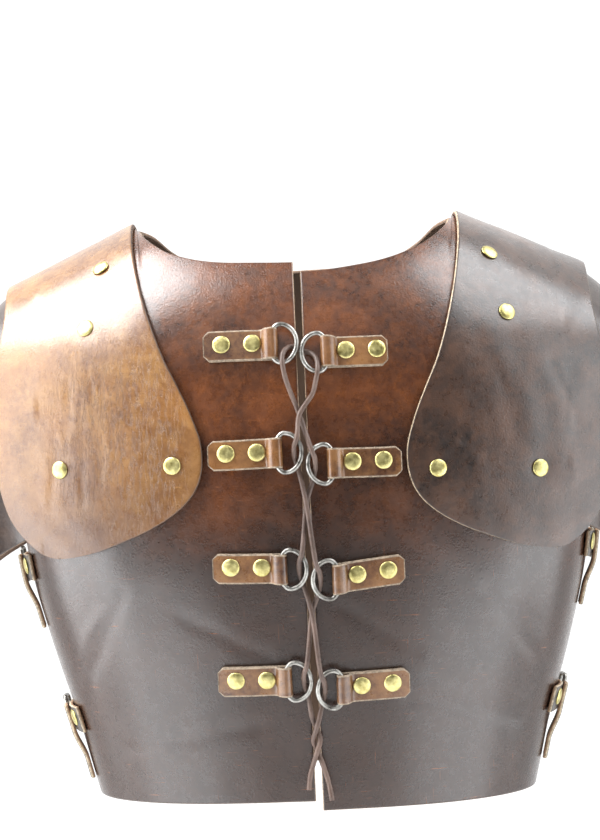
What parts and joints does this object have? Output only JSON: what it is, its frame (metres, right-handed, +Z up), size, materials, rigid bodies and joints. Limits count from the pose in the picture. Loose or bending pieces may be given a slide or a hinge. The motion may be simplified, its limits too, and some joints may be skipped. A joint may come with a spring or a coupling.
{
  "type": "segmented leather armour",
  "caption": "Thick leather cuirass of two fronts laced through rings, a back, riveted leaf-shaped shoulder plates and arm lames",
  "frame": {"origin": "midway between the shoulders, level with the shoulder tips that carry the armour, in the middle of its depth", "axes": "+X to the wearer's left, +Y to the wearer's back, +Z up; the laced front faces -Y"},
  "size_m": [0.504, 0.2554, 0.4121],
  "materials": {
    "body_leather": "glazed, mottled",
    "plate_leather": "glazed, scuffed",
    "lame_leather": "satin",
    "tab_leather": "worn",
    "strap_leather": "satin",
    "lace_leather": "matt",
    "rivet_brass": "worn",
    "ring_steel": "worn"
  },
  "bodies": {
    "root": {"back": "body_leather", "front_right": "body_leather", "shoulder_plate_right": "plate_leather", "arm_lame_right_1": "lame_leather", "arm_lame_right_2": "lame_leather", "plate_rivet_right_front_shoulder": "rivet_brass", "plate_rivet_right_front_chest": "rivet_brass", "plate_rivet_right_front_inner": "rivet_brass", "plate_rivet_right_front_outer": "rivet_brass", "plate_rivet_right_back_shoulder": "rivet_brass", "plate_rivet_right_back_chest": "rivet_brass", "plate_rivet_right_back_inner": "rivet_brass", "plate_rivet_right_back_outer": "rivet_brass", "ring_tab_right_1": "tab_leather", "lacing_ring_right_1": "ring_steel", "ring_tab_right_2": "tab_leather", "lacing_ring_right_2": "ring_steel", "ring_tab_right_3": "tab_leather", "lacing_ring_right_3": "ring_steel", "ring_tab_right_4": "tab_leather", "lacing_ring_right_4": "ring_steel", "side_strap_right_upper": "strap_leather", "side_buckle_right_upper": "ring_steel", "strap_end_right_upper": "strap_leather", "side_strap_right_lower": "strap_leather", "side_buckle_right_lower": "ring_steel", "strap_end_right_lower": "strap_leather", "front_left": "body_leather", "shoulder_plate_left": "plate_leather", "arm_lame_left_1": "lame_leather", "arm_lame_left_2": "lame_leather", "plate_rivet_left_front_shoulder": "rivet_brass", "plate_rivet_left_front_chest": "rivet_brass", "plate_rivet_left_front_inner": "rivet_brass", "plate_rivet_left_front_outer": "rivet_brass", "plate_rivet_left_back_shoulder": "rivet_brass", "plate_rivet_left_back_chest": "rivet_brass", "plate_rivet_left_back_inner": "rivet_brass", "plate_rivet_left_back_outer": "rivet_brass", "ring_tab_left_1": "tab_leather", "lacing_ring_left_1": "ring_steel", "ring_tab_left_2": "tab_leather", "lacing_ring_left_2": "ring_steel", "ring_tab_left_3": "tab_leather", "lacing_ring_left_3": "ring_steel", "ring_tab_left_4": "tab_leather", "lacing_ring_left_4": "ring_steel", "side_strap_left_upper": "strap_leather", "side_buckle_left_upper": "ring_steel", "strap_end_left_upper": "strap_leather", "side_strap_left_lower": "strap_leather", "side_buckle_left_lower": "ring_steel", "strap_end_left_lower": "strap_leather", "lace": "lace_leather"}
  },
  "joints": []
}
